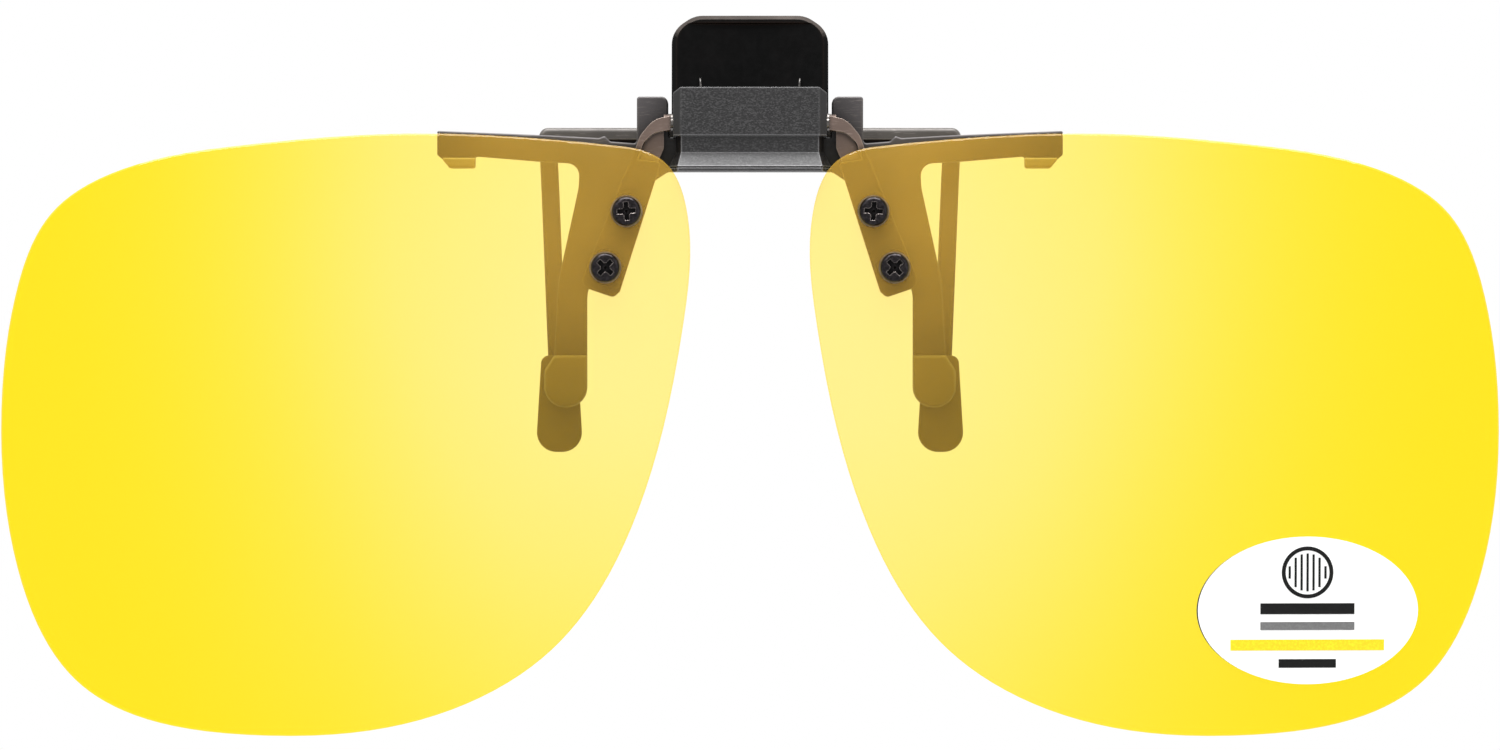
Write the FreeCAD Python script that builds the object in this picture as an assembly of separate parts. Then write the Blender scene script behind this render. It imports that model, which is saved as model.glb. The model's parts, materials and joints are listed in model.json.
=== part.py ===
"""Flip-up clip-on lenses for spectacles: a squeeze clip that carries two hinged tinted lenses.

Frame: millimetres, +X to the right as the lenses are seen from the front, +Y from the lenses
towards the wearer, +Z up. The origin is the middle of the clamping gap, level with the brow
arms' undersides. "right" is the +X side, and every left piece is the mirror of its right one.
"""
import FreeCAD, Part

import math
import os

V = FreeCAD.Vector
ACROSS, BACKWARD, UP = V(1, 0, 0), V(0, 1, 0), V(0, 0, 1)

# ---- planes, from the front of the clip to its back (Y) ----
LENS_FRONT = -7.2            # crown of the lens sheet
LENS_THICKNESS = 1.2
SHEET_RADIUS = 420.0         # the lens sheet is a very shallow dome
SHEET_CROWN_Z = -8.0
SEAT_GAP, LENS_CHAMFER = 0.03, 0.15
BRACKET_FRONT, BRACKET_BACK = -6.1, -5.1
JAW_FRONT, JAW_BACK = -3.7, -2.5
REAR_ARM_FRONT, REAR_ARM_BACK = 2.5, 3.7

# ---- lens ----
LENS_OUTLINE = [             # (x, z) through which the right lens's edge runs
    (10.8, 1.5), (18.5, 2.24), (30.0, 2.66), (43.5, 1.73), (54.2, -0.31), (60.5, -4.09),
    (63.7, -11.15), (65.0, -22.1), (63.8, -34.2), (58.6, -44.65), (42.5, -49.45), (27.5, -47.75),
    (17.3, -42.1), (9.35, -29.05), (5.7, -13.45), (5.45, -4.0), (7.4, 0.2)]
STICKER_X, STICKER_Z = 48.3, -38.6
STICKER_WIDTH, STICKER_HEIGHT, STICKER_THICKNESS = 19.3, 12.8, 0.12

# ---- lens screws, M1.4 ----
SCREW_PLACES = [(10.66, -4.07, 4.0), (12.48, -8.93, 47.0)]      # x, z, turn of the cross
SCREW_RADIUS, SCREW_HOLE = 0.7, 0.76
HEAD_RADIUS, HEAD_HEIGHT, HEAD_ROUND = 1.27, 0.78, 0.4
CROSS_LENGTH, CROSS_WIDTH, CROSS_DEPTH, CROSS_CORE = 1.6, 0.42, 0.5, 0.4
WASHER_RADIUS, WASHER_FRONT = 1.38, -7.3
NUT_RADIUS, NUT_THICKNESS = 1.38, 0.9
SCREW_TIP = -4.1

# ---- flip axle and the straps that hang from it ----
AXLE_Y, AXLE_Z = -5.0, 3.6
AXLE_RADIUS, AXLE_END, DRUM_RADIUS, DRUM_HALF = 0.45, 7.45, 0.9, 4.4
EYE_IN, EYE_RADIUS = 6.85, 0.72
STRAP_FRONT, STRAP_BACK = -5.8, -4.35
WEB_IN, WEB_FRONT, WEB_BACK = 7.45, -5.0, -4.5
RUNNING_CLEARANCE = 0.05

# ---- housing in the middle ----
HOUSING_HALF, HOUSING_FACE_HALF = 6.65, 6.0
HOUSING_FRONT, HOUSING_BACK = -7.0, -3.1
HOUSING_TOP, HOUSING_FLOOR, HOUSING_SHOULDER = 6.66, 2.48, 0.5
CAVITY_HALF, CAVITY_FRONT, CAVITY_BACK, CAVITY_TOP = 4.5, -6.2, -3.9, 5.5
BAND = (6.4, 6.25, 5.95, -6.7)      # half widths at the back, the cheek and the face; face Y
SKIRT = (7.0, 6.5, 6.25, -7.95)
GROOVE = (6.85, 6.35, 6.1, -7.75)
CHEEK_BACK, CHEEK_FRONT = -5.3, -5.75
BAND_BOTTOM, SKIRT_BOTTOM, GROOVE_BOTTOM, LIP_BOTTOM = 1.0, -0.2, -0.32, -0.65
LEAF_HALF, LEAF_WIDTH, LEAF_THICKNESS, LEAF_RISE, LEAF_FLOOR = 3.8, 1.6, 0.2, 0.15, 2.3

# ---- jaw pivot behind the housing ----
PIVOT_Y, PIVOT_Z = -1.2, 3.9
PIN_RADIUS, BARREL_RADIUS, BARREL_HALF = 0.6, 1.5, 6.7
EAR_IN, EAR_OUT, EAR_TOP, EAR_BOTTOM, EAR_BACK = 7.1, 9.8, 5.92, 1.3, 0.4
BRIDGE_TOP, BRIDGE_STEP, BRIDGE_STEP_TOP = 2.4, 6.97, 3.1  # its top, and the step by each ear
JAW_ROUND = 0.15

# ---- squeeze springs round the pivot ----
COIL_X, COIL_LENGTH, COIL_MEAN, WIRE_RADIUS = 3.55, 1.6, 1.0, 0.15
TAB_LEG_X, COVER_LEG_X = 4.2, 3.05
WINDOW_HALF = 1.1

# ---- thumb tab ----
TAB_HALF, TAB_TOP, TAB_LEAN = 6.82, 9.78, 12.0     # TAB_TOP is the blade's reach above the pivot
TAB_FRONT, TAB_THICKNESS = 1.2, 1.1                # ahead of leaning, measured from the pivot
TAB_CORNER_ACROSS, TAB_CORNER_DOWN = 2.0, 1.35
DISH_RADIUS, DISH_DEPTH, DISH_FOOT, LIP_HEIGHT = 55.0, 0.38, 3.0, 0.75
TAB_CORNER_ROUND, LIP_BEVEL = 2.3, 0.42
RIB_COUNT, RIB_PITCH, RIB_HALF, RIB_RADIUS = 3, 1.6, 4.2, 0.28
FIN_HALF, FIN_BOTTOM = 12.7, 1.75                  # the web's fins under the rear bars

# ---- rear arms ----
ARM_BAR_TOP, ARM_BAR_BOTTOM, ARM_ROOT = 3.36, 2.36, 5.0
ROD_X, ROD_WIDTH, ROD_SPLAY = 17.62, 1.56, 2.6       # splay: degrees that the rod leans inward
ROD_BEND_TOP, ROD_BEND_BOTTOM, ROD_TIP = -2.0, -15.6, -23.6
ROD_FOOT_FRONT = -1.35
ROD_ROUND = 0.4
PADDLE_TOP, PADDLE_BOTTOM = -16.5, -24.88
PADDLE_HEAD_IN, PADDLE_HEAD_OUT, PADDLE_FOOT_IN, PADDLE_FOOT_OUT = 15.0, 18.1, 14.5, 18.6
PADDLE_FRONT, PADDLE_BACK = -1.8, 0.25

# ---- front jaw's foot and arm tip ----
FOOT_IN, FOOT_OUT, FOOT_TOP, FOOT_BOTTOM = 14.1, 17.8, -16.5, -21.0
FOOT_FRONT, FOOT_BACK, TONGUE_BOTTOM = -4.1, -2.1, -20.3
TIP_IN, TIP_OUT, TIP_TOP, TIP_BOTTOM, TIP_FRONT, TIP_BACK = 23.8, 26.6, 0.62, -0.3, -3.9, -1.7
TIP_TAPER = 0.6
TIP_LIP_TOP = 2.0


# ---- small tools ----
def box(x0, x1, y0, y1, z0, z1):
    return Part.makeBox(x1 - x0, y1 - y0, z1 - z0, V(x0, y0, z0))


def bar_x(radius, x0, x1, y, z):
    """Round bar along X."""
    return Part.makeCylinder(radius, x1 - x0, V(x0, y, z), ACROSS)


def bar_y(radius, y0, y1, x, z):
    """Round bar along Y."""
    return Part.makeCylinder(radius, y1 - y0, V(x, y0, z), BACKWARD)


def rounded_wire(corners):
    """Closed flat wire through corners, each a (point, rounding radius)."""
    cuts = []
    for i, (here, radius) in enumerate(corners):
        back = (corners[i - 1][0] - here).normalize()
        ahead = (corners[(i + 1) % len(corners)][0] - here).normalize()
        half = back.getAngle(ahead) / 2
        reach = radius / math.tan(half)
        middle = here + (back + ahead).normalize() * (radius / math.sin(half) - radius)
        cuts.append((here + back * reach, middle, here + ahead * reach))
    edges = []
    for i, (start, middle, end) in enumerate(cuts):
        if (end - start).Length > 1e-6:
            edges.append(Part.Arc(start, middle, end).toShape())
        following = cuts[(i + 1) % len(cuts)][0]
        if (following - end).Length > 1e-6:
            edges.append(Part.LineSegment(end, following).toShape())
    return Part.Wire(edges)


def plate(outline, y0, y1):
    """Flat plate between two Y planes; the outline's corners are (x, z, rounding radius)."""
    wire = rounded_wire([(V(x, y0, z), radius) for x, z, radius in outline])
    return Part.Face(wire).extrude(V(0, y1 - y0, 0))


def profile(outline, x0, x1):
    """Bar along X whose section's corners are (y, z, rounding radius)."""
    wire = rounded_wire([(V(x0, y, z), radius) for y, z, radius in outline])
    return Part.Face(wire).extrude(V(x1 - x0, 0, 0))


def both_sides(right):
    """A shape that is symmetric about the middle plane, from its right half."""
    return right.fuse(mirrored(right)).removeSplitter()


def mirrored(right):
    return right.mirror(V(0, 0, 0), ACROSS)


def edges_at(shape, test):
    """The edges whose every vertex passes the test."""
    return [edge for edge in shape.Edges if all(test(vertex.Point) for vertex in edge.Vertexes)]


# ---- lenses ----
def lens_prism():
    """Straight prism through the right lens's outline."""
    curve = Part.BSplineCurve()
    curve.interpolate(Points=[V(x, -12, z) for x, z in LENS_OUTLINE], PeriodicFlag=True)
    return Part.Face(Part.Wire(curve.toShape())).extrude(V(0, 24, 0))


def lens_room():
    """The right lens grown by a hair front and back: what is seated on it is cut to this."""
    return lens_prism().common(sheet(-SEAT_GAP, LENS_THICKNESS + SEAT_GAP))


def sheet(front, back):
    """Domed sheet between two depths behind the crown of the lens front."""
    centre = V(0, LENS_FRONT + SHEET_RADIUS, SHEET_CROWN_Z)
    outer = Part.makeSphere(SHEET_RADIUS - front, centre)
    return outer.cut(Part.makeSphere(SHEET_RADIUS - back, centre))


def lens():
    blank = lens_prism().common(sheet(0, LENS_THICKNESS))
    rims = [edge for edge in blank.Edges if edge.Length > 10 * LENS_THICKNESS]
    blank = blank.makeChamfer(LENS_CHAMFER, rims)
    for x, z, _ in SCREW_PLACES:
        blank = blank.cut(bar_y(SCREW_HOLE, -9, -3, x, z))
    return blank


def lens_sticker():
    ellipse = Part.Ellipse(V(0, 0, 0), STICKER_WIDTH / 2, STICKER_HEIGHT / 2).toShape()
    ellipse.rotate(V(0, 0, 0), ACROSS, 90)
    ellipse.translate(V(STICKER_X, -12, STICKER_Z))
    prism = Part.Face(Part.Wire(ellipse)).extrude(V(0, 20, 0))
    return prism.common(sheet(-STICKER_THICKNESS - SEAT_GAP, -SEAT_GAP))


# ---- what carries the lenses ----
def lens_bracket(room):
    """Strip behind the lens, a strap that curves up to an eye on the flip axle, and their web."""
    strip = plate([(10.3, 0.5, 0.2), (14.75, -10.5, 0.9), (11.8, -11.5, 0.5), (11.25, -11.0, 0.3),
                   (7.7, 0.15, 0.2)], BRACKET_FRONT, BRACKET_BACK)
    for x, z, _ in SCREW_PLACES:
        strip = strip.cut(bar_y(SCREW_RADIUS, -8, -4, x, z))
    strap = plate([(EYE_IN, AXLE_Z + 0.6, 0), (8.35, 3.9, 2.2), (9.5, 2.5, 1.6), (10.3, 0.3, 0),
                   (9.75, 0.3, 0), (9.2, 1.9, 1.2), (8.3, 2.75, 1.5),
                   (EYE_IN, AXLE_Z - 0.6, 0)], STRAP_FRONT, STRAP_BACK)
    web = plate([(WEB_IN, 3.05, 0), (8.6, 2.9, 0), (9.9, 0.3, 0), (8.0, 0.15, 0),
                 (WEB_IN, 1.4, 0.4)], WEB_FRONT, WEB_BACK)
    eye = bar_x(EYE_RADIUS, EYE_IN, AXLE_END, AXLE_Y, AXLE_Z)
    whole = strip.fuse([strap, web, eye]).removeSplitter()
    return whole.cut([room, bar_x(AXLE_RADIUS, 0, AXLE_END, AXLE_Y, AXLE_Z)])


def flip_axle():
    shaft = bar_x(AXLE_RADIUS, -AXLE_END, AXLE_END, AXLE_Y, AXLE_Z)
    return shaft.fuse(bar_x(DRUM_RADIUS, -DRUM_HALF, DRUM_HALF, AXLE_Y, AXLE_Z)).removeSplitter()


def lens_screw(x, z, turn):
    """Pan-head screw from the front, with a crossed slot."""
    face = WASHER_FRONT - HEAD_HEIGHT
    head = bar_y(HEAD_RADIUS, face, WASHER_FRONT, x, z)
    head = head.makeFillet(HEAD_ROUND, edges_at(head, lambda point: point.y < face + 0.01))
    screw = head.fuse(bar_y(SCREW_RADIUS, WASHER_FRONT, SCREW_TIP, x, z)).removeSplitter()
    for angle in (turn, turn + 90):
        slot = box(x - CROSS_LENGTH / 2, x + CROSS_LENGTH / 2, face - 0.1, face + CROSS_DEPTH,
                   z - CROSS_WIDTH / 2, z + CROSS_WIDTH / 2)
        slot.rotate(V(x, 0, z), BACKWARD, angle)
        screw = screw.cut(slot)
    core = Part.makeCone(CROSS_CORE, 0.05, CROSS_DEPTH + 0.15, V(x, face, z), BACKWARD)
    return screw.cut(core)


def lens_screws():
    return Part.makeCompound([lens_screw(*place) for place in SCREW_PLACES])


def lens_washers(room):
    rings = []
    for x, z, _ in SCREW_PLACES:
        ring = bar_y(WASHER_RADIUS, WASHER_FRONT, LENS_FRONT + 0.6, x, z).cut(room)
        ring = ring.cut(bar_y(SCREW_HOLE, -9, -3, x, z))
        rings.append(max(ring.Solids, key=lambda solid: -solid.BoundBox.YMin))
    return Part.makeCompound(rings)


def lens_nuts():
    nuts = []
    for x, z, turn in SCREW_PLACES:
        ring = [V(x + NUT_RADIUS * math.cos(math.radians(turn + 60 * i)), BRACKET_BACK,
                  z + NUT_RADIUS * math.sin(math.radians(turn + 60 * i))) for i in range(6)]
        nut = Part.Face(Part.makePolygon(ring + ring[:1])).extrude(V(0, NUT_THICKNESS, 0))
        nuts.append(nut.cut(bar_y(SCREW_RADIUS, -8, -3, x, z)))
    return Part.makeCompound(nuts)


# ---- housing ----
def housing_cover():
    """Moulded block over the flip axle, hollow from below, with bevelled front corners."""
    bevel = HOUSING_HALF - HOUSING_FACE_HALF
    corners = [(-HOUSING_HALF, HOUSING_BACK), (-HOUSING_HALF, HOUSING_FRONT + bevel),
               (-HOUSING_FACE_HALF, HOUSING_FRONT), (HOUSING_FACE_HALF, HOUSING_FRONT),
               (HOUSING_HALF, HOUSING_FRONT + bevel), (HOUSING_HALF, HOUSING_BACK)]
    base = rounded_wire([(V(x, y, HOUSING_FLOOR), 0.12) for x, y in corners])
    block = Part.Face(base).extrude(V(0, 0, HOUSING_TOP - HOUSING_FLOOR))
    block = block.common(plate([
        (-HOUSING_HALF, HOUSING_FLOOR, 0), (-HOUSING_HALF, HOUSING_TOP - HOUSING_SHOULDER, 0.12),
        (-HOUSING_FACE_HALF, HOUSING_TOP, 0.12), (HOUSING_FACE_HALF, HOUSING_TOP, 0.12),
        (HOUSING_HALF, HOUSING_TOP - HOUSING_SHOULDER, 0.12),
        (HOUSING_HALF, HOUSING_FLOOR, 0)], HOUSING_FRONT - 1, HOUSING_BACK + 1))
    block = block.cut(box(-CAVITY_HALF, CAVITY_HALF, CAVITY_FRONT, CAVITY_BACK,
                          HOUSING_FLOOR, CAVITY_TOP))
    bore = AXLE_RADIUS + RUNNING_CLEARANCE
    return block.cut(bar_x(bore, -HOUSING_HALF, HOUSING_HALF, AXLE_Y, AXLE_Z))


def ring_at(sizes, z):
    """Housing section at one height: straight face, steep cheeks, flat back."""
    half, cheek, face, front = sizes
    right = [(half, JAW_FRONT), (half, CHEEK_BACK), (cheek, CHEEK_FRONT), (face, front)]
    corners = right[::-1] + [(-x, y) for x, y in right]
    points = [V(x, y, z) for x, y in corners]
    return Part.makePolygon(points + points[:1])


def housing_base():
    """Recessed band under the cover, a skirt that flares out below it, a groove and a lip."""
    tiers = [(BAND, HOUSING_FLOOR, BAND, BAND_BOTTOM), (BAND, BAND_BOTTOM, SKIRT, SKIRT_BOTTOM),
             (GROOVE, SKIRT_BOTTOM, GROOVE, GROOVE_BOTTOM), (SKIRT, GROOVE_BOTTOM, SKIRT, LIP_BOTTOM)]
    tiers = [Part.makeLoft([ring_at(low, low_z), ring_at(high, high_z)], True, True)
             for high, high_z, low, low_z in tiers]
    base = tiers[0].fuse(tiers[1:]).removeSplitter()
    return base.cut(box(-LEAF_HALF - 0.1, LEAF_HALF + 0.1, AXLE_Y - LEAF_WIDTH / 2 - 0.1,
                        AXLE_Y + LEAF_WIDTH / 2 + 0.1, LEAF_FLOOR, HOUSING_FLOOR))


def detent_spring():
    """Bowed leaf under the axle's drum, which holds the lenses where they are put."""
    half, rise, thick, floor = LEAF_HALF, LEAF_RISE, LEAF_THICKNESS, LEAF_FLOOR
    low = Part.Arc(V(-half, 0, floor), V(0, 0, floor + rise), V(half, 0, floor)).toShape()
    high = Part.Arc(V(half, 0, floor + thick), V(0, 0, floor + rise + thick),
                    V(-half, 0, floor + thick)).toShape()
    ends = [Part.makeLine(V(half, 0, floor), V(half, 0, floor + thick)),
            Part.makeLine(V(-half, 0, floor + thick), V(-half, 0, floor))]
    leaf = Part.Face(Part.Wire([low, ends[0], high, ends[1]])).extrude(V(0, LEAF_WIDTH, 0))
    return leaf.translate(V(0, AXLE_Y - LEAF_WIDTH / 2, 0))


# ---- front jaw ----
def front_jaw():
    """One moulding: bridge, ears for the pivot pin, brow arms, and a leg down each side."""
    half = plate([(0, BRIDGE_TOP, 0), (BRIDGE_STEP, BRIDGE_TOP, 0.1),
                  (BRIDGE_STEP, BRIDGE_STEP_TOP, 0), (EAR_IN, BRIDGE_STEP_TOP, 0),
                  (EAR_IN, EAR_TOP, 0.6), (EAR_OUT, EAR_TOP, 0.25),
                  (EAR_OUT, 1.85, 0.3), (12.1, 2.02, 0.3), (12.6, 2.5, 0.2), (13.1, 2.32, 0.3),
                  (17.3, 2.55, 5), (27.1, 2.95, 0.15), (27.1, 0.87, 0.2), (26.6, 0.45, 0.2),
                  (TIP_OUT - 0.3, TIP_TOP, 0), (TIP_IN, TIP_TOP, 0), (23.6, 0.72, 0.2),
                  (18.2, 0.28, 6), (14.75, 0.1, 1.1), (14.85, -2.0, 4), (16.6, -10.0, 8),
                  (16.85, -14.5, 2), (16.95, FOOT_TOP, 0), (17.2, TONGUE_BOTTOM, 0.8),
                  (14.7, TONGUE_BOTTOM, 0.8), (14.6, FOOT_TOP, 0), (FOOT_IN, FOOT_TOP, 0),
                  (14.1, -10.8, 3), (8.6, -1.6, 1.6), (EAR_IN, -0.6, 1), (0, -0.6, 0)],
                 JAW_FRONT, JAW_BACK)
    ear = plate([(EAR_IN, EAR_TOP, 0.6), (EAR_OUT, EAR_TOP, 0.25), (EAR_OUT, EAR_BOTTOM, 0.3),
                 (EAR_IN, EAR_BOTTOM, 0.3)], JAW_FRONT, EAR_BACK)
    side_view = profile([(JAW_FRONT, 0, 0), (JAW_FRONT, EAR_TOP, 0.2), (EAR_BACK, EAR_TOP, 1.6),
                         (EAR_BACK, 0, 0)], EAR_IN - 1, EAR_OUT + 1)
    jaw = both_sides(half.fuse(ear.common(side_view)))
    jaw = jaw.makeFillet(JAW_ROUND, edges_at(jaw, lambda p: abs(p.y - JAW_FRONT) < 0.01))
    return jaw.cut(bar_x(PIN_RADIUS, -EAR_OUT, EAR_OUT, PIVOT_Y, PIVOT_Z))


def front_pad(jaw):
    """Soft sleeve on the foot of the front jaw's leg."""
    sleeve = plate([(FOOT_IN, FOOT_TOP, 0), (16.95, FOOT_TOP, 0.3), (FOOT_OUT, FOOT_TOP - 1.3, 0.8),
                    (FOOT_OUT, FOOT_BOTTOM, 1.75), (FOOT_IN, FOOT_BOTTOM, 1.75)],
                   FOOT_FRONT, FOOT_BACK)
    rim = edges_at(sleeve, lambda p: p.y < FOOT_FRONT + 0.01 and p.z < FOOT_TOP - 0.01)
    return sleeve.makeFillet(0.3, rim).cut(jaw)


def arm_tip_pad(jaw):
    """Soft rest hooked under and behind the end of the brow arm."""
    hook = profile([(TIP_FRONT, TIP_BOTTOM, 0.3), (TIP_BACK, TIP_BOTTOM, 0.3),
                    (TIP_BACK, TIP_LIP_TOP, 0.3), (JAW_BACK, TIP_LIP_TOP, 0),
                    (JAW_BACK, TIP_TOP, 0), (TIP_FRONT, TIP_TOP, 0.15)], TIP_IN, TIP_OUT)
    face = plate([(TIP_IN, TIP_BOTTOM, 0.25), (TIP_OUT - TIP_TAPER, TIP_BOTTOM, 0.3),
                  (TIP_OUT, TIP_TOP - 0.2, 0.2), (TIP_OUT, TIP_LIP_TOP, 0.2),
                  (TIP_IN, TIP_LIP_TOP, 0.2)], TIP_FRONT, TIP_BACK)
    return hook.common(face).cut(jaw)


def jaw_pivot_pin():
    """Plain pin pressed through both ears, its ends flush with them."""
    return bar_x(PIN_RADIUS, -EAR_OUT, EAR_OUT, PIVOT_Y, PIVOT_Z)


def leaned(shape):
    """A shape drawn upright over the pivot, leant back as the tab leans."""
    leant = shape.copy()
    leant.rotate(V(0, PIVOT_Y, PIVOT_Z), ACROSS, -TAB_LEAN)
    return leant


def clip_spring():
    """Torsion spring round the pivot pin: one leg on the tab, one on the housing's back."""
    left = COIL_X - COIL_LENGTH / 2
    coil = bar_x(COIL_MEAN + WIRE_RADIUS, left, left + COIL_LENGTH, PIVOT_Y, PIVOT_Z)
    coil = coil.cut(bar_x(COIL_MEAN - WIRE_RADIUS, left, left + COIL_LENGTH, PIVOT_Y, PIVOT_Z))
    tab_leg = Part.makeCylinder(WIRE_RADIUS, 4.0, V(TAB_LEG_X, PIVOT_Y + COIL_MEAN, PIVOT_Z), UP)
    rise, run = 2.3, HOUSING_BACK + WIRE_RADIUS + 0.03 - (PIVOT_Y - COIL_MEAN)
    cover_leg = Part.makeCylinder(WIRE_RADIUS, math.hypot(rise, run),
                                  V(COVER_LEG_X, PIVOT_Y - COIL_MEAN, PIVOT_Z), V(0, run, rise))
    return coil.fuse([leaned(tab_leg), cover_leg]).removeSplitter()


# ---- rear clip ----
def thumb_tab(arms):
    """Squeeze lever: dished blade, pivot barrel, and the web that holds the rear arms."""
    side, foot, top = TAB_HALF, PIVOT_Z, PIVOT_Z + TAB_TOP
    front = PIVOT_Y + TAB_FRONT
    back = front + TAB_THICKNESS
    right = [(side - TAB_CORNER_ACROSS, top, TAB_CORNER_ROUND),
             (side, top - TAB_CORNER_DOWN, TAB_CORNER_ROUND), (side, foot, 0)]
    left = [(-x, z, rounding) for x, z, rounding in reversed(right)]
    blade = plate(left + right, front, back)
    blade = blade.makeFillet(0.3, edges_at(blade, lambda p: p.y > back - 0.01 and p.z > foot + 1))
    lip = edges_at(blade, lambda p: p.y < front + 0.01 and p.z > top - TAB_CORNER_DOWN - 0.6)
    blade = blade.makeChamfer(LIP_BEVEL, lip)
    dish = Part.makeCylinder(DISH_RADIUS, TAB_TOP - DISH_FOOT - LIP_HEIGHT,
                             V(0, front + DISH_DEPTH - DISH_RADIUS, foot + DISH_FOOT), UP)
    blade = blade.cut(dish)
    ribs = [bar_x(RIB_RADIUS, -RIB_HALF, RIB_HALF, back, top - 2.2 - RIB_PITCH * i)
            for i in range(RIB_COUNT)]
    blade = leaned(blade.fuse(ribs))
    barrel = bar_x(BARREL_RADIUS, -BARREL_HALF, BARREL_HALF, PIVOT_Y, PIVOT_Z)
    web = profile([(PIVOT_Y, 2.5, 0), (REAR_ARM_FRONT, 1.7, 0.4), (REAR_ARM_BACK + 0.4, 1.7, 0.4),
                   (REAR_ARM_BACK + 0.4, 3.5, 0.5), (1.6, 4.6, 0.8), (PIVOT_Y, 5.0, 0)],
                  -BARREL_HALF, BARREL_HALF)
    fin = plate([(0, FIN_BOTTOM, 0), (FIN_HALF - 0.9, FIN_BOTTOM + 0.1, 0.2), (FIN_HALF, 2.2, 0.1),
                 (FIN_HALF - 0.3, ARM_BAR_BOTTOM, 0), (0, ARM_BAR_BOTTOM, 0)],
                REAR_ARM_FRONT, REAR_ARM_BACK)
    lever = blade.fuse([barrel, web, both_sides(fin)]).removeSplitter()
    lever = lever.cut(bar_x(PIN_RADIUS + RUNNING_CLEARANCE, -9, 9, PIVOT_Y, PIVOT_Z))
    around = bar_x(COIL_MEAN + 0.3, COIL_X - WINDOW_HALF, COIL_X + WINDOW_HALF, PIVOT_Y, PIVOT_Z)
    ahead = box(COIL_X - WINDOW_HALF, COIL_X + WINDOW_HALF, PIVOT_Y - 2, PIVOT_Y + 0.6,
                PIVOT_Z - BARREL_RADIUS, PIVOT_Z + 1.6)
    leg_way = leaned(box(TAB_LEG_X - 0.4, TAB_LEG_X + 0.4, PIVOT_Y, front, PIVOT_Z, PIVOT_Z + 2.5))
    for room in (around, ahead, leg_way):
        lever = lever.cut([room, mirrored(room)])
    return lever.cut(arms)


def rear_arm():
    """Bar out of the tab's web, then a rod down behind the spectacle lens, bent forward."""
    deep = REAR_ARM_BACK - REAR_ARM_FRONT
    foot_back = ROD_FOOT_FRONT + deep
    rod = profile([(REAR_ARM_FRONT, ARM_BAR_TOP, 0.3), (REAR_ARM_BACK, ARM_BAR_TOP, 0.3),
                   (REAR_ARM_BACK, ROD_BEND_TOP, 3), (foot_back, ROD_BEND_BOTTOM, 3),
                   (foot_back, ROD_TIP, 0.3), (ROD_FOOT_FRONT, ROD_TIP, 0.3),
                   (ROD_FOOT_FRONT, ROD_BEND_BOTTOM, 3), (REAR_ARM_FRONT, ROD_BEND_TOP, 3)],
                  ROD_X - ROD_WIDTH / 2, ROD_X + ROD_WIDTH / 2)
    rod.rotate(V(ROD_X, 0, ARM_BAR_BOTTOM), BACKWARD, ROD_SPLAY)
    outer = ROD_X + ROD_WIDTH / 2
    bar = plate([(ARM_ROOT, ARM_BAR_BOTTOM, 0), (outer, ARM_BAR_BOTTOM, 0),
                 (outer, ARM_BAR_TOP, 0.8), (ARM_ROOT, ARM_BAR_TOP, 0)],
                REAR_ARM_FRONT, REAR_ARM_BACK)
    crop = plate([(0, -40, 0), (30, -40, 0), (30, 0, 0), (outer, ARM_BAR_BOTTOM - 1, 0),
                  (outer, ARM_BAR_TOP, 0.8), (0, ARM_BAR_TOP, 0)], -10, 10)
    arm = bar.fuse(rod).common(crop).removeSplitter()
    return arm.makeFillet(ROD_ROUND, edges_at(arm, lambda p: p.x > ARM_ROOT + 0.1))


def paddle_pad(arm):
    """Soft round-ended sleeve on the foot of the rear rod."""
    sleeve = plate([(PADDLE_HEAD_IN, PADDLE_TOP, 0.6), (PADDLE_HEAD_OUT, PADDLE_TOP, 0.7),
                    (PADDLE_FOOT_OUT, PADDLE_BOTTOM, 1.7), (PADDLE_FOOT_IN, PADDLE_BOTTOM, 1.7)],
                   PADDLE_FRONT, PADDLE_BACK)
    ends = edges_at(sleeve, lambda p: p.y > PADDLE_BACK - 0.01)
    return sleeve.makeFillet(0.4, ends).cut(arm)


def pieces():
    """Every node's name and shape."""
    room, jaw, arm = lens_room(), front_jaw(), rear_arm()
    right = {
        "lens": lens(),
        "lens_bracket": lens_bracket(room),
        "lens_screws": lens_screws(),
        "lens_washers": lens_washers(room),
        "lens_nuts": lens_nuts(),
        "front_pad": front_pad(jaw),
        "arm_tip_pad": arm_tip_pad(jaw),
        "clip_spring": clip_spring(),
        "rear_arm": arm,
        "paddle_pad": paddle_pad(arm),
    }
    named = {name + "_right": shape for name, shape in right.items()}
    named.update({name + "_left": mirrored(shape) for name, shape in right.items()})
    named["flip_axle"] = flip_axle()
    named["lens_sticker"] = lens_sticker()
    named["housing_cover"] = housing_cover()
    named["housing_base"] = housing_base()
    named["detent_spring"] = detent_spring()
    named["front_jaw"] = jaw
    named["jaw_pivot_pin"] = jaw_pivot_pin()
    named["thumb_tab"] = thumb_tab([arm, mirrored(arm)])
    return named


os.makedirs("parts", exist_ok=True)
for node, shape in sorted(pieces().items()):
    box_of = shape.BoundBox
    print(f"{node:20s} valid {shape.isValid()} solids {len(shape.Solids)} volume {shape.Volume:9.3f}"
          f"  x {box_of.XMin:7.2f} {box_of.XMax:7.2f}  y {box_of.YMin:6.2f} {box_of.YMax:6.2f}"
          f"  z {box_of.ZMin:7.2f} {box_of.ZMax:6.2f}")
    shape.exportStep(f"parts/{node}.step")
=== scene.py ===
"""Looks of the flip-up clip-on lenses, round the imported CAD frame. Metres, +Z up, front is -Y."""
import json
import math

import bmesh
import bpy
from mathutils import Matrix, Vector


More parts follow.
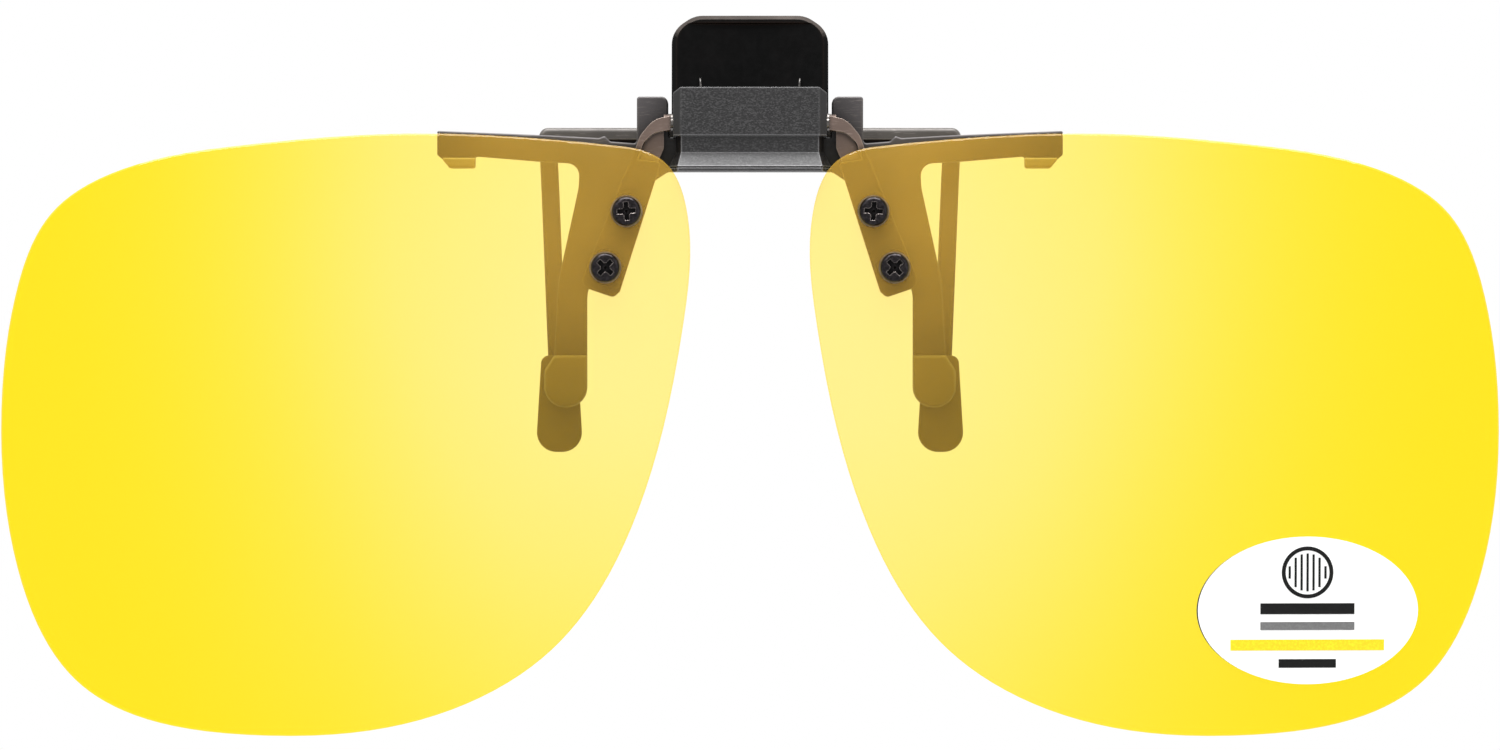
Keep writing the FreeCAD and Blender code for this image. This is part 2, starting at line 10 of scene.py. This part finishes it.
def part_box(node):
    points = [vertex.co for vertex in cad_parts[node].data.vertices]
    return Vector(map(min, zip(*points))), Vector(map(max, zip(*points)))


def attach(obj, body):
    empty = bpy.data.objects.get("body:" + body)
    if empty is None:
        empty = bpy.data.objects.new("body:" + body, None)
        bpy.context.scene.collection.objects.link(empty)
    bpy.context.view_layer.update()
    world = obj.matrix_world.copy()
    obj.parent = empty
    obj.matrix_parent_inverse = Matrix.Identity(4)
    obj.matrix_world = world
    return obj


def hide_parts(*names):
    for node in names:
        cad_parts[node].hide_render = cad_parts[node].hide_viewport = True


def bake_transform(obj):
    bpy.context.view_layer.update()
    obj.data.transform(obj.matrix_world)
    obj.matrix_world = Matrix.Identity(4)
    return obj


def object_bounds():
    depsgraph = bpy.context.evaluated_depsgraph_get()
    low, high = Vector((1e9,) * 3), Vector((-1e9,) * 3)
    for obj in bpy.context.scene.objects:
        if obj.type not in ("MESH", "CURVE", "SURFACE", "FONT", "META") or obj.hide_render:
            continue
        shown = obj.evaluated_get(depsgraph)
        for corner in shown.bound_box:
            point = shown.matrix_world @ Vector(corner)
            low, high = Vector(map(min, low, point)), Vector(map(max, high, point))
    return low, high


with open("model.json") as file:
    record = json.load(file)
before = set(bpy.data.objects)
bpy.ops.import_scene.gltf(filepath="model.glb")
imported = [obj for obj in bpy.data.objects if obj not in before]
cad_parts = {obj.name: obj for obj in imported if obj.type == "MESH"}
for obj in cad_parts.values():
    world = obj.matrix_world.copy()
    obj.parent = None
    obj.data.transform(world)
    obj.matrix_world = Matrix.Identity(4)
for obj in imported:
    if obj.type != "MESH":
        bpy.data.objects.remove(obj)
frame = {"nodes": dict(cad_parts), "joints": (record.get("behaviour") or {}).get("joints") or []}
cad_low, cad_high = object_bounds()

MM = 0.001
SIDES = {"left": -1, "right": 1}
PIVOT = Vector(next(j["pos_m"] for j in frame["joints"] if j["name"] == "jaw_squeeze"))

# ---- camera and studio ----
SHOWN_WIDTH = 129.3 * MM            # the lenses fill the picture's width
CAMERA_DISTANCE = 0.9
CAMERA_HEIGHT = -18.2 * MM
SENSOR = 36.0
FLOOR_RADIUS, WALL_RADIUS, WALL_HEIGHT = 2.3, 3.1, 2.6
TENT_GLOW, AIR_GLOW = 1.0, 0.8

# ---- lens sheet ----
SHEET_RADIUS = 420.0 * MM
SHEET_FRONT = -7.2 * MM
SHEET_CROWN_Z = -8.0 * MM
INK_PROUD, INK_THICKNESS = 0.17 * MM, 0.02 * MM     # the label's face is 0.15 mm off the sheet

# ---- clip springs ----
COIL_RADIUS, WIRE_RADIUS, COIL_TURNS = 1.0 * MM, 0.11 * MM, 5.25
TAB_LEAN = math.radians(12.0)
TAB_LEG, COVER_LEG_RUN, COVER_LEG_RISE = 4.0 * MM, -0.72 * MM, 2.3 * MM


def linear(*rgb):
    """Linear colour from a display colour given as 0 to 255."""
    return tuple(c / 3294.6 if c <= 10.31 else ((c / 255 + 0.055) / 1.055) ** 2.4 for c in rgb) + (1,)


# ---- materials ----
class Paint:
    """One material's nodes, with short calls for the ones that are used here."""

    def __init__(self, name, **surface):
        self.material = bpy.data.materials.new(name)
        self.material.use_nodes = True
        self.tree = self.material.node_tree
        self.surface = self.tree.nodes["Principled BSDF"]
        self.place = self.node("ShaderNodeTexCoord").outputs["Object"]
        for socket, value in surface.items():
            self.set(socket.replace("_", " ").title().replace("Ior", "IOR"), value)

    def node(self, kind, links=None, **settings):
        made = self.tree.nodes.new(kind)
        for key, value in settings.items():
            setattr(made, key, value)
        for socket, value in (links or {}).items():
            self.feed(made.inputs[socket], value)
        return made

    def feed(self, socket, value):
        if isinstance(value, bpy.types.NodeSocket):
            self.tree.links.new(value, socket)
        else:
            socket.default_value = value

    def set(self, socket, value):
        self.feed(self.surface.inputs[socket], value)

    def stretched(self, scale, turn=(0, 0, 0)):
        return self.node("ShaderNodeMapping", {0: self.place, "Scale": scale, "Rotation": turn}).outputs[0]

    def noise(self, scale, detail=3.0, roughness=0.55, vector=None):
        return self.node("ShaderNodeTexNoise", {
            "Vector": vector or self.place, "Scale": scale, "Detail": detail,
            "Roughness": roughness}).outputs["Fac"]

    def cells(self, scale):
        return self.node("ShaderNodeTexVoronoi", {"Vector": self.place, "Scale": scale}).outputs["Distance"]

    def math(self, operation, *values, clamp=False):
        made = self.node("ShaderNodeMath", dict(enumerate(values)), operation=operation)
        made.use_clamp = clamp
        return made.outputs[0]

    def between(self, value, low, high, new_low=0.0, new_high=1.0):
        """A value eased from one range to another, and held at the ends."""
        return self.node("ShaderNodeMapRange", {
            "Value": value, "From Min": low, "From Max": high,
            "To Min": new_low, "To Max": new_high}, interpolation_type="SMOOTHSTEP").outputs[0]

    def mix(self, share, first, second):
        made = self.node("ShaderNodeMix", data_type="RGBA")
        for socket, value in ((made.inputs[0], share), (made.inputs[6], first), (made.inputs[7], second)):
            self.feed(socket, value)
        return made.outputs[2]

    def ramp(self, share, *stops):
        made = self.node("ShaderNodeValToRGB", {0: share})
        stripe = made.color_ramp.elements
        while len(stripe) < len(stops):
            stripe.new(0.5)
        for element, (position, colour) in zip(stripe, stops):
            element.position = position
            element.color = colour
        return made.outputs[0]

    def rounded_normal(self, radius):
        return self.node("ShaderNodeBevel", {"Radius": radius}, samples=6).outputs[0]

    def edges(self, radius, strength):
        """1 along convex and concave edges, 0 on open faces."""
        soft = self.rounded_normal(radius)
        hard = self.node("ShaderNodeNewGeometry").outputs["Normal"]
        alike = self.node("ShaderNodeVectorMath", {0: soft, 1: hard}, operation="DOT_PRODUCT")
        return self.math("MULTIPLY", self.math("SUBTRACT", 1.0, alike.outputs["Value"]), strength, clamp=True)

    def unshaded_share(self, distance, power=1.5):
        """1 on open faces, falling to 0 deep inside recesses; it sets where shade is painted into recesses.
        """
        open_share = self.node("ShaderNodeAmbientOcclusion", {"Distance": distance}, samples=8).outputs["AO"]
        return self.math("POWER", open_share, power)

    def height(self):
        """Height in the piece's own frame, in metres."""
        return self.node("ShaderNodeSeparateXYZ", {0: self.place}).outputs[2]

    def turned_from_front(self):
        """0 on faces square to the front, 1 on faces turned fully to a side."""
        normal = self.node("ShaderNodeNewGeometry").outputs["True Normal"]
        return self.math("ABSOLUTE", self.node("ShaderNodeSeparateXYZ", {0: normal}).outputs[0])

    def bump(self, height, distance, strength=1.0, normal=None):
        links = {"Height": height, "Distance": distance, "Strength": strength}
        if normal is not None:
            links["Normal"] = normal
        self.set("Normal", self.node("ShaderNodeBump", links).outputs[0])


def textured_nylon(name, colour, grain_and_edge_highlight):
    """Moulded nylon with a fine spark-eroded grain, painted shade on its side faces and in its recesses, and
    a painted highlight along its edges.
    """
    paint = Paint(name, ior=1.5, specular_ior_level=0.42)
    weave = paint.noise(5200, 3, 0.6, paint.stretched((0.5, 1, 1.4)))
    grain = paint.math("ADD", weave, paint.math("MULTIPLY", paint.cells(9400), 0.35))
    cloud = paint.noise(420, 3)
    speckle = paint.between(paint.noise(9800, 2, 0.6, paint.stretched((0.6, 1, 1.3))), 0.42, 0.72)
    base = paint.mix(paint.between(cloud, 0.3, 0.7), [c * 0.88 for c in colour[:3]] + [1], colour)
    base = paint.mix(paint.math("MULTIPLY", speckle, 0.16), base, grain_and_edge_highlight)
    # Painted shade: faces turned to the sides are darkened nearly to black, except low down by the base.
    side_shade = paint.math("MULTIPLY", paint.between(paint.turned_from_front(), 0.3, 0.6),
                       paint.between(paint.height(), 0.4 * MM, 1.2 * MM))
    base = paint.mix(paint.math("MULTIPLY", side_shade, 0.9), base, linear(14, 13, 14))
    # Painted shade: recesses darkened nearly to black.
    base = paint.mix(paint.unshaded_share(1.6 * MM, 1.2), linear(6, 6, 6), base)
    # Painted highlight: edges lightened towards the pale colour, the same colour that tints the random
    # speckle.
    edge = paint.edges(0.24 * MM, 4.0)
    paint.set("Base Color", paint.mix(paint.math("MULTIPLY", edge, 0.75), base, grain_and_edge_highlight))
    paint.set("Roughness", paint.between(paint.noise(2600, 3), 0.25, 0.75, 0.36, 0.5))
    paint.bump(grain, 0.010 * MM, 0.4, paint.rounded_normal(0.1 * MM))
    return paint.material


def gunmetal(name, colour, grain_and_edge_highlight, roughness, metallic, shade_reach, shine, low=1.0):
    """Dark lacquered metal with drawn lines, painted shade lower down and in its recesses, and a painted
    highlight along its edges; low is the share of its colour kept lower down, the rest being painted shade.
    """
    paint = Paint(name, metallic=metallic, specular_ior_level=0.42)
    lines = paint.noise(900, 4, 0.6, paint.stretched((1, 1, 9), (0, 0.35, 0)))
    cloud = paint.noise(260, 3)
    base = paint.mix(paint.between(cloud, 0.3, 0.72), [c * 0.8 for c in colour[:3]] + [1], colour)
    base = paint.mix(paint.math("MULTIPLY", paint.between(lines, 0.55, 0.75), 0.25), base, grain_and_edge_highlight)
    # Painted shade: darker lower down, easing from full colour at 2 mm to the share low at 0 and below.
    base = paint.mix(paint.between(paint.height(), 0, 2 * MM, 1.0 - low, 0), base, linear(8, 7, 7))
    # Painted shade: recesses darkened nearly to black.
    base = paint.mix(paint.unshaded_share(shade_reach, 1.6), linear(8, 7, 7), base)
    # Painted highlight: edges lightened towards the pale colour, the same colour as the drawn lines.
    edge = paint.edges(0.16 * MM, 3.4)
    paint.set("Base Color", paint.mix(paint.math("MULTIPLY", edge, shine), base, grain_and_edge_highlight))
    paint.set("Roughness", paint.between(lines, 0.3, 0.7, roughness - 0.06, roughness + 0.1))
    paint.bump(paint.math("ADD", lines, paint.noise(6000, 3)), 0.006 * MM, 0.4,
               paint.rounded_normal(0.09 * MM))
    return paint.material


def black_gloss(name):
    """Polished black moulding with a faint orange peel, a pale painted highlight on its upward faces and a
    brown painted highlight along its edges.
    """
    paint = Paint(name, ior=1.5, specular_ior_level=0.05)
    # Painted highlight: brown lightening along the edges.
    edge_highlight = linear(64, 48, 40)
    edge = paint.edges(0.4 * MM, 2.0)
    cloud = paint.between(paint.noise(180, 4, 0.6), 0.35, 0.7)
    base = paint.mix(cloud, linear(4, 4, 4), linear(8, 7, 7))
    base = paint.mix(paint.math("MULTIPLY", edge, 0.4), base, edge_highlight)
    # Painted highlight: faces turned upward lightened to a pale grey.
    normal = paint.node("ShaderNodeNewGeometry").outputs["True Normal"]
    upward = paint.node("ShaderNodeSeparateXYZ", {0: normal}).outputs[2]
    top_highlight = paint.math("MULTIPLY", paint.between(upward, 0.3, 0.6), paint.between(cloud, 0.0, 1.0, 0.6, 1.0))
    base = paint.mix(top_highlight, base, linear(74, 68, 64))
    paint.set("Base Color", base)
    paint.set("Roughness", paint.between(paint.noise(1500, 4, 0.65), 0.3, 0.7, 0.26, 0.42))
    paint.bump(paint.noise(900, 3), 0.006 * MM, 0.35, paint.rounded_normal(0.14 * MM))
    return paint.material


def soft_rubber(name, colour):
    """Dull soft sleeve with a fine pebble, painted shade in its recesses and a pale painted highlight along
    its edges.
    """
    paint = Paint(name, ior=1.48, sheen_weight=0.25, sheen_roughness=0.6)
    cloud = paint.noise(500, 4)
    base = paint.mix(paint.between(cloud, 0.3, 0.75), [c * 0.7 for c in colour[:3]] + [1], colour)
    # Painted shade: recesses darkened.
    base = paint.mix(paint.unshaded_share(1.6 * MM, 1.3), [c * 0.25 for c in colour[:3]] + [1], base)
    # Painted highlight: edges lightened towards a pale dusty colour.
    edge = paint.edges(0.25 * MM, 2.6)
    paint.set("Base Color", paint.mix(paint.math("MULTIPLY", edge, 0.3), base, linear(158, 146, 128)))
    paint.set("Roughness", paint.between(cloud, 0.3, 0.7, 0.5, 0.68))
    paint.bump(paint.math("ADD", paint.noise(3800, 3), paint.cells(3000)), 0.012 * MM, 0.4,
               paint.rounded_normal(0.16 * MM))
    return paint.material


def black_oxide(name):
    """Small black steel hardware: glossy crown, painted shade in its recesses, painted bright glints on the
    edges.
    """
    paint = Paint(name, metallic=0.9)
    grain = paint.noise(3600, 4, 0.65)
    edge = paint.edges(0.09 * MM, 3.2)
    # Painted glint: edges lightened to near white in broken patches.
    edge_glint = paint.math("MULTIPLY", edge, paint.between(paint.noise(1800, 3), 0.35, 0.65, 0.35, 1.0))
    base = paint.mix(paint.between(grain, 0.35, 0.7), linear(26, 24, 25), linear(50, 46, 48))
    base = paint.mix(edge_glint, base, linear(186, 176, 170))
    # Painted shade: recesses darkened nearly to black.
    base = paint.mix(paint.unshaded_share(0.7 * MM, 2.6), linear(3, 3, 3), base)
    paint.set("Base Color", base)
    paint.set("Roughness", paint.between(grain, 0.3, 0.7, 0.14, 0.26))
    paint.bump(grain, 0.005 * MM, 0.4, paint.rounded_normal(0.07 * MM))
    return paint.material


def drawn_steel(name, dark, bright, roughness):
    """Bare steel with drawing lines along X."""
    paint = Paint(name, metallic=1.0)
    lines = paint.noise(2600, 4, 0.6, paint.stretched((0.15, 1, 1)))
    paint.set("Base Color", paint.mix(paint.between(lines, 0.35, 0.68), dark, bright))
    paint.set("Roughness", paint.between(lines, 0.3, 0.7, roughness - 0.06, roughness + 0.08))
    paint.bump(lines, 0.004 * MM, 0.35)
    return paint.material


def clear_nylon(name):
    """Translucent amber washer."""
    paint = Paint(name, ior=1.45)
    cloud = paint.noise(1400, 3)
    shade = paint.between(cloud, 0.3, 0.7)
    paint.set("Base Color", paint.mix(shade, linear(92, 74, 50), linear(132, 112, 82)))
    paint.set("Roughness", paint.between(cloud, 0.3, 0.7, 0.28, 0.4))
    paint.bump(cloud, 0.006 * MM, 0.3)
    return paint.material


def from_clip(paint, squash, spot_x, spot_z):
    """Distance from a spot beside the clip, the same on both lenses; squash shortens it up and down."""
    fold = paint.node("ShaderNodeVectorMath", {0: paint.place}, operation="ABSOLUTE").outputs[0]
    flat = paint.node("ShaderNodeVectorMath", {0: fold, 1: (1, 0, squash)}, operation="MULTIPLY").outputs[0]
    return paint.node("ShaderNodeVectorMath", {0: flat, 1: (spot_x, 0, spot_z)},
                      operation="DISTANCE").outputs["Value"]


def lens_tint(paint):
    """Colour of the light that the sheet lets through, deep far from the clip and paler by it, the paleness
    being a painted highlight.
    """
    # Painted highlight: the tint is eased paler towards the clip.
    slant = paint.stretched((1.0, 1.0, 0.4), (0, 0.4, 0))
    streak = paint.math("SUBTRACT", paint.noise(30, 2, 0.5, slant), 0.5)
    reach = paint.math("ADD", from_clip(paint, 0.7, 9 * MM, 4 * MM), paint.math("MULTIPLY", streak, 6 * MM))
    return paint.ramp(paint.between(reach, 0.0, 56 * MM), (0.0, (1.0, 0.950, 0.58, 1)),
                      (0.32, (1.0, 0.937, 0.44, 1)), (0.7, (1.0, 0.914, 0.22, 1)),
                      (1.0, (1.0, 0.900, 0.06, 1)))


def lens_haze(paint):
    """Share of milky scatter: most by the clip and along the chamfered rim."""
    haze = paint.between(from_clip(paint, 1, 12 * MM, 0), 5 * MM, 25 * MM, 0.145, 0.046)
    haze = paint.math("MULTIPLY", haze, paint.between(paint.noise(90, 4), 0.3, 0.7, 0.9, 1.1))
    own_normal = paint.node("ShaderNodeTexCoord").outputs["Normal"]
    facing = paint.node("ShaderNodeSeparateXYZ", {0: own_normal}).outputs[1]
    rim = paint.between(paint.math("ABSOLUTE", facing), 0.93, 0.6, 0.0, 0.2)
    return paint.math("MAXIMUM", haze, rim)


def tinted_lens(name):
    """Yellow sheet: deep towards the temples, milkier round the clip and paler there with a painted
    highlight.
    """
    paint = Paint(name)
    tree, node = paint.tree, paint.node
    tree.nodes.remove(paint.surface)
    clear = node("ShaderNodeBsdfTransparent", {"Color": lens_tint(paint)})
    milk = node("ShaderNodeBsdfDiffuse", {"Color": (0.98, 0.59, 0.095, 1)})
    body = node("ShaderNodeMixShader", {0: lens_haze(paint), 1: clear.outputs[0], 2: milk.outputs[0]})
    gloss = node("ShaderNodeBsdfGlossy", {"Color": (1, 1, 1, 1), "Roughness": 0.04})
    inside = node("ShaderNodeNewGeometry").outputs["Backfacing"]
    mirror = node("ShaderNodeFresnel", {"IOR": 1.24}).outputs[0]
    mirror = paint.math("MULTIPLY", mirror, paint.math("SUBTRACT", 1.0, inside))
    out = node("ShaderNodeMixShader", {0: mirror, 1: body.outputs[0], 2: gloss.outputs[0]})
    tree.links.new(out.outputs[0], tree.nodes["Material Output"].inputs["Surface"])
    return paint.material


def printed_film(name):
    """White label film with a faint paper tooth."""
    paint = Paint(name, ior=1.46, coat_weight=0.35, coat_roughness=0.12)
    tooth = paint.noise(2400, 4, 0.6)
    shade = paint.between(tooth, 0.3, 0.7)
    paint.set("Base Color", paint.mix(shade, linear(243, 243, 242), linear(252, 252, 251)))
    paint.set("Roughness", paint.between(tooth, 0.3, 0.7, 0.34, 0.46))
    paint.bump(tooth, 0.003 * MM, 0.3)
    return paint.material


def ink(name, colour):
    """Screen-printed ink on the label."""
    paint = Paint(name, ior=1.46, specular_ior_level=0.2)
    tooth = paint.noise(5200, 3, 0.6)
    paint.set("Base Color", paint.mix(paint.between(tooth, 0.35, 0.75), colour,
                                      [min(1, c * 1.25 + 0.003) for c in colour[:3]] + [1]))
    paint.set("Roughness", paint.between(tooth, 0.3, 0.7, 0.42, 0.55))
    paint.bump(tooth, 0.002 * MM, 0.3)
    return paint.material


MATERIALS = {
    "housing_nylon": textured_nylon("nylon_housing", linear(17, 16, 17), linear(138, 137, 138)),
    "jaw_nylon": gunmetal("gunmetal_jaw", linear(78, 74, 75), linear(160, 152, 146),
                          roughness=0.42, metallic=0.3, shade_reach=3.0 * MM, shine=0.75),
    "bracket_metal": gunmetal("gunmetal_bracket", linear(108, 92, 84), linear(184, 168, 158),
                              roughness=0.34, metallic=0.5, shade_reach=0.5 * MM, shine=0.55),
    "rear_arm_metal": gunmetal("gunmetal_rear", linear(84, 80, 77), linear(172, 166, 160),
                               roughness=0.4, metallic=0.35, shade_reach=1.2 * MM, shine=0.7, low=0.12),
    "tab_plastic": black_gloss("black_tab"),
    "soft_pad": soft_rubber("rubber_pad", linear(82, 70, 52)),
    "tip_pad": soft_rubber("rubber_tip", linear(150, 138, 118)),
    "screw_black": black_oxide("black_hardware"),
    "washer_clear": clear_nylon("nylon_washer"),
    "axle_steel": drawn_steel("steel_axle", linear(92, 88, 85), linear(150, 146, 142), 0.32),
    "spring_steel": drawn_steel("steel_spring", linear(52, 51, 50), linear(96, 94, 92), 0.34),
    "lens_tint": tinted_lens("yellow_lens"),
    "sticker_film": printed_film("label_film"),
}


def dress_cad_nodes():
    """Every CAD node's own slot gets its finished material."""
    for shape in frame["nodes"].values():
        for place in shape.material_slots:
            place.material = MATERIALS[place.material.name]


# ---- pieces ----
def piece_from(name, mesh_points, faces, material):
    """Smooth-shaded object from points and faces."""
    mesh = bpy.data.meshes.new(name)
    mesh.from_pydata([tuple(point) for point in mesh_points], [], faces)
    mesh.validate()
    mesh.shade_smooth()
    mesh.materials.append(material)
    piece = bpy.data.objects.new(name, mesh)
    bpy.context.scene.collection.objects.link(piece)
    return piece


def tube(path, radius, around=14):
    """Points and faces of a round wire along a path, its ends closed."""
    points, faces = [], []
    side = Vector((1, 0, 0))
    for i, here in enumerate(path):
        along = (path[min(i + 1, len(path) - 1)] - path[max(i - 1, 0)]).normalized()
        side = (side - along * side.dot(along)).normalized()
        up = along.cross(side)
        turns = [2 * math.pi * k / around for k in range(around)]
        points += [here + (side * math.cos(t) + up * math.sin(t)) * radius for t in turns]
    for i in range(len(path) - 1):
        a, b = i * around, (i + 1) * around
        faces += [(a + k, a + (k + 1) % around, b + (k + 1) % around, b + k) for k in range(around)]
    faces.append(tuple(range(around))[::-1])
    faces.append(tuple(range(len(points) - around, len(points))))
    return points, faces


def clip_spring(side, sign):
    """Real turns of wire round the pivot: one leg up the tab, the other up the housing's back."""
    node = f"clip_spring_{side}"
    low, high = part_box(node)
    inner, outer = sorted((abs(low.x), abs(high.x)))
    lean = Matrix.Rotation(-TAB_LEAN, 3, "X")
    tab_way = lean @ Vector((0, 0, 1))
    tab_foot = PIVOT + lean @ Vector((0, COIL_RADIUS, 0))
    cover_foot = PIVOT + Vector((0, -COIL_RADIUS, 0))
    start_x, end_x = inner + WIRE_RADIUS, outer - WIRE_RADIUS
    path = []
    for i in range(5):
        share = 1 - i / 5
        path.append(cover_foot + Vector((start_x, COVER_LEG_RUN * share, COVER_LEG_RISE * share)))
    steps = int(COIL_TURNS * 28)
    first, last = math.pi, -TAB_LEAN + 2 * math.pi * (COIL_TURNS + 0.25)
    for i in range(steps + 1):
        share = i / steps
        angle = first + (last - first) * share
        path.append(PIVOT + Vector((start_x + (end_x - start_x) * share,
                                    COIL_RADIUS * math.cos(angle), COIL_RADIUS * math.sin(angle))))
    for i in range(1, 9):
        share = i / 8
        lift = Vector((end_x + 0.35 * MM * max(0, share - 0.7), 0, 0))
        path.append(tab_foot + tab_way * TAB_LEG * share + lift)
    points, faces = tube(path, WIRE_RADIUS)
    points = [Vector((point.x * sign, point.y, point.z)) for point in points]
    wire = piece_from(f"spring_wire_{side}", points, faces, MATERIALS["spring_steel"])
    if sign < 0:
        wire.data.flip_normals()
    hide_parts(node)
    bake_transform(wire)


def print_y(x, z):
    """Y of the print's middle at a place, just proud of the label that follows the lens sheet."""
    radius = SHEET_RADIUS + INK_PROUD
    centre_y = SHEET_FRONT + SHEET_RADIUS
    return centre_y - math.sqrt(radius ** 2 - x ** 2 - (z - SHEET_CROWN_Z) ** 2)


def label_patch(name, outline, material, inner=None):
    """Thin shape on the label, print or painted shadow: a filled outline, or the band between two outlines.
    """
    mesh = bpy.data.meshes.new(name)
    shape = bmesh.new()
    rings = [[shape.verts.new((x, print_y(x, z), z)) for x, z in loop]
             for loop in (outline, inner) if loop]
    if inner:
        count = len(outline)
        for i in range(count):
            j = (i + 1) % count
            shape.faces.new((rings[0][i], rings[0][j], rings[1][j], rings[1][i]))
    else:
        shape.faces.new(rings[0])
        bmesh.ops.triangulate(shape, faces=shape.faces[:])
    bmesh.ops.recalc_face_normals(shape, faces=shape.faces[:])
    shape.to_mesh(mesh)
    shape.free()
    mesh.materials.append(material)
    piece = bpy.data.objects.new(name, mesh)
    bpy.context.scene.collection.objects.link(piece)
    shell = piece.modifiers.new("film", "SOLIDIFY")
    shell.thickness = INK_THICKNESS
    shell.offset = 0
    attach(piece, "lens_flip")


def circle_loop(x, z, radius, count=96):
    turns = [2 * math.pi * i / count for i in range(count)]
    return [(x + radius * math.cos(t), z + radius * math.sin(t)) for t in turns]


def bar_loop(x, z, width, height, steps=14):
    """Rectangle outline with enough points along its length to follow the sheet."""
    top = [(x + width * (i / steps - 0.5), z + height / 2) for i in range(steps + 1)]
    return top + [(px, z - height / 2) for px, _ in reversed(top)]


def crescent_loop(x, z, half_width, half_height, depth, steps=40):
    """Thin sliver along the left side of an ellipse, tapering to nothing at both ends."""
    turns = [math.radians(120 + 120 * i / steps) for i in range(steps + 1)]
    outer = [(x + half_width * math.cos(t), z + half_height * math.sin(t)) for t in turns]
    inner = [(x + (half_width - depth * math.sin(math.pi * i / steps)) * math.cos(turns[i]),
              z + half_height * math.sin(turns[i])) for i in range(steps - 1, 0, -1)]
    return outer + inner


def label_print():
    """Plain mark on the label: a ringed disc with parallel lines, blank bars below it, and a painted shadow
    along the label's left edge.
    """
    low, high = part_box("lens_sticker")
    x, z = (low.x + high.x) / 2, (low.z + high.z) / 2
    # Painted shadow: this black also draws the shadow along the label's left edge.
    black = ink("ink_black_and_painted_shadow", linear(10, 10, 10))
    grey = ink("ink_grey", linear(104, 104, 104))
    amber = ink("ink_amber", linear(242, 196, 32))
    disc_z, disc = z + 3.3 * MM, 2.25 * MM
    label_patch("label_ring", circle_loop(x, disc_z, disc), black,
                  circle_loop(x, disc_z, disc - 0.34 * MM))
    for i in range(-3, 4):
        across = i * 0.52 * MM
        tall = 2 * math.sqrt((disc - 0.6 * MM) ** 2 - across ** 2)
        line = bar_loop(x + across, disc_z, 0.2 * MM, tall, 2)
        label_patch(f"label_line_{i + 3}", line, black)
    # Painted shadow: a thin black sliver along the label's left edge.
    edge = crescent_loop(x, z, (high.x - low.x) / 2, (high.z - low.z) / 2, 0.1 * MM)
    label_patch("label_edge_shadow", edge, black)
    bars = [("upper", 0.15, 8.2, 0.95, black), ("lower", -1.35, 8.2, 0.7, grey),
            ("long", -3.0, 13.4, 0.95, amber), ("short", -4.6, 5.0, 0.75, black)]
    for tag, lower, width, height, colour in bars:
        outline = bar_loop(x, z + lower * MM, width * MM, height * MM)
        label_patch(f"label_bar_{tag}", outline, colour)


# ---- studio ----
def studio_tent():
    """Pale floor that curves up into a round wall, open above."""
    floor_z = cad_low.z - 0.4 * MM
    bend = WALL_RADIUS - FLOOR_RADIUS
    profile = [(0.0, 0.0), (0.3, 0.0), (FLOOR_RADIUS, 0.0)]
    for i in range(1, 17):
        angle = math.pi / 2 * i / 16
        profile.append((FLOOR_RADIUS + bend * math.sin(angle), bend * (1 - math.cos(angle))))
    profile.append((WALL_RADIUS, WALL_HEIGHT))
    around, points, faces = 96, [], []
    for reach, rise in profile:
        points += [(reach * math.cos(2 * math.pi * k / around), reach * math.sin(2 * math.pi * k / around),
                    floor_z + rise) for k in range(around)]
    for i in range(len(profile) - 1):
        a, b = i * around, (i + 1) * around
        faces += [(a + k, a + (k + 1) % around, b + (k + 1) % around, b + k) for k in range(around)]
    paint = Paint("tent_cloth", base_color=(0, 0, 0, 1), roughness=0.9, specular_ior_level=0)
    paint.set("Emission Color", (1, 1, 1, 1))
    paint.set("Emission Strength", TENT_GLOW)
    tent = piece_from("studio_tent", points, faces, paint.material)


def softbox(name, place, aim, width, height, watts):
    """Rectangular lamp at a place, turned to a point."""
    lamp = bpy.data.lights.new(name, "AREA")
    lamp.shape = "RECTANGLE"
    lamp.size, lamp.size_y, lamp.energy = width, height, watts
    holder = bpy.data.objects.new(name, lamp)
    holder.location = place
    holder.rotation_euler = (Vector(aim) - Vector(place)).to_track_quat("-Z", "Y").to_euler()
    bpy.context.scene.collection.objects.link(holder)


def light_studio():
    """Soft lamps round the object, the strongest overhead, and an even glow from the air."""
    middle = (0, 0, -15 * MM)
    softbox("key", (-0.75, -1.0, 0.95), middle, 0.7, 0.7, 5)
    softbox("fill", (0.95, -0.95, 0.35), middle, 0.7, 0.9, 2)
    softbox("top", (0, -0.22, 1.1), middle, 1.2, 0.8, 34)
    softbox("behind", (0.25, 1.3, 0.7), middle, 1.0, 0.7, 4)
    world = bpy.data.worlds.new("studio_air")
    bpy.context.scene.world = world
    world.use_nodes = True
    air = world.node_tree.nodes["Background"]
    air.inputs["Color"].default_value = (1, 1, 1, 1)
    air.inputs["Strength"].default_value = AIR_GLOW


def place_camera():
    """Straight front view, with the object's front plane at the named distance."""
    lens = bpy.data.cameras.new("front_camera")
    lens.sensor_width = SENSOR
    lens.lens = SENSOR * CAMERA_DISTANCE / SHOWN_WIDTH
    lens.clip_start = 0.05
    holder = bpy.data.objects.new("front_camera", lens)
    holder.location = (0, cad_low.y - CAMERA_DISTANCE, CAMERA_HEIGHT)
    holder.rotation_euler = (math.pi / 2, 0, 0)
    bpy.context.scene.collection.objects.link(holder)
    bpy.context.scene.camera = holder


bpy.context.scene.view_settings.view_transform = "Standard"
dress_cad_nodes()
for side, sign in SIDES.items():
    clip_spring(side, sign)
label_print()
studio_tent()
light_studio()
place_camera()
